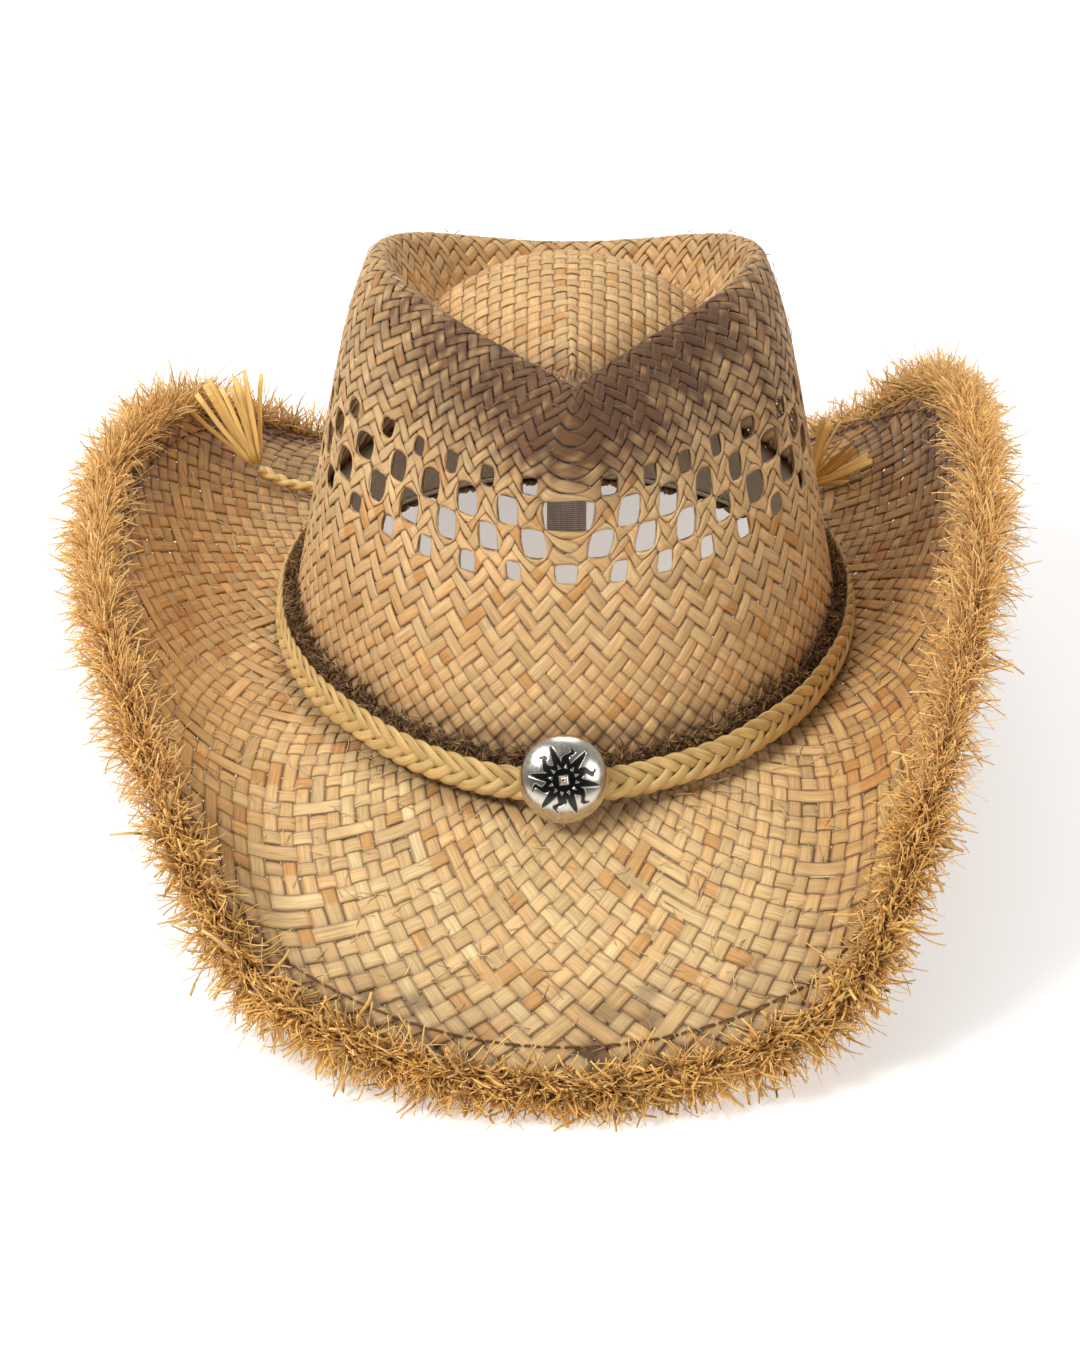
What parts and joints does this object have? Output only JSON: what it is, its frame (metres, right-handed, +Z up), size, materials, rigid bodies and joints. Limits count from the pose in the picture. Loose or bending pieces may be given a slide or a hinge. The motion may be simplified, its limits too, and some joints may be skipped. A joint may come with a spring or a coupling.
{
  "type": "straw cowboy hat",
  "caption": "Woven raffia cowboy hat with a pinched, vented crown, curled frayed brim, inner sweatband, and a loose braided hatband carrying a round metal concho and tassels.",
  "frame": {"origin": "on the resting plane, under the middle of the hat's box", "axes": "+Z up, -Y towards the front of the hat, +X towards the side on the viewer's right when the front is seen"},
  "size_m": [0.2849, 0.4168, 0.1645],
  "materials": {
    "raffia_crown": "dry woven raffia, sprayed brown in places",
    "raffia_brim": "dry woven raffia",
    "raffia_dark": "dark frayed raffia knots",
    "raffia_fringe": "loose frayed raffia",
    "raffia_band": "plaited dry grass",
    "wire": "plain drawn",
    "thread_dark": "twisted thread",
    "thread_pale": "twisted thread",
    "cotton": "matte woven cotton tape",
    "label_tape": "plain woven tape",
    "plated_steel": "plated, satin",
    "silver": "polished, slightly worn",
    "blackened": "black fill, satin"
  },
  "bodies": {
    "hat": {"crown": "raffia_crown", "brim": "raffia_brim", "brim_hem": "raffia_brim", "brim_wire": "wire", "hem_stitching": "thread_dark", "join_knots": "raffia_dark", "fringe_front": "raffia_fringe", "fringe_right": "raffia_fringe", "fringe_back": "raffia_fringe", "fringe_left": "raffia_fringe", "sweatband": "cotton", "sweatband_stitching": "thread_pale", "sweatband_label": "label_tape"},
    "hatband": {"hatband_braid": "raffia_band", "hatband_knot": "raffia_band", "tail_left": "raffia_band", "tail_right": "raffia_band", "tassel_left": "raffia_band", "tassel_right": "raffia_band"},
    "concho": {"concho_loop": "plated_steel", "concho_dome": "silver", "concho_sunburst": "blackened", "concho_stud": "silver"}
  },
  "joints": [
    {"name": "hatband_lift", "type": "slide", "parent": "hat", "child": "hatband", "axis": [0, 0, 1], "range_m": [0, 0.13]},
    {"name": "concho_slide", "type": "hinge", "parent": "hatband", "child": "concho", "pos_m": [0.00995, -0.0333, 0.0507], "axis": [0, 0, 1], "range_deg": [-7, 7]}
  ]
}
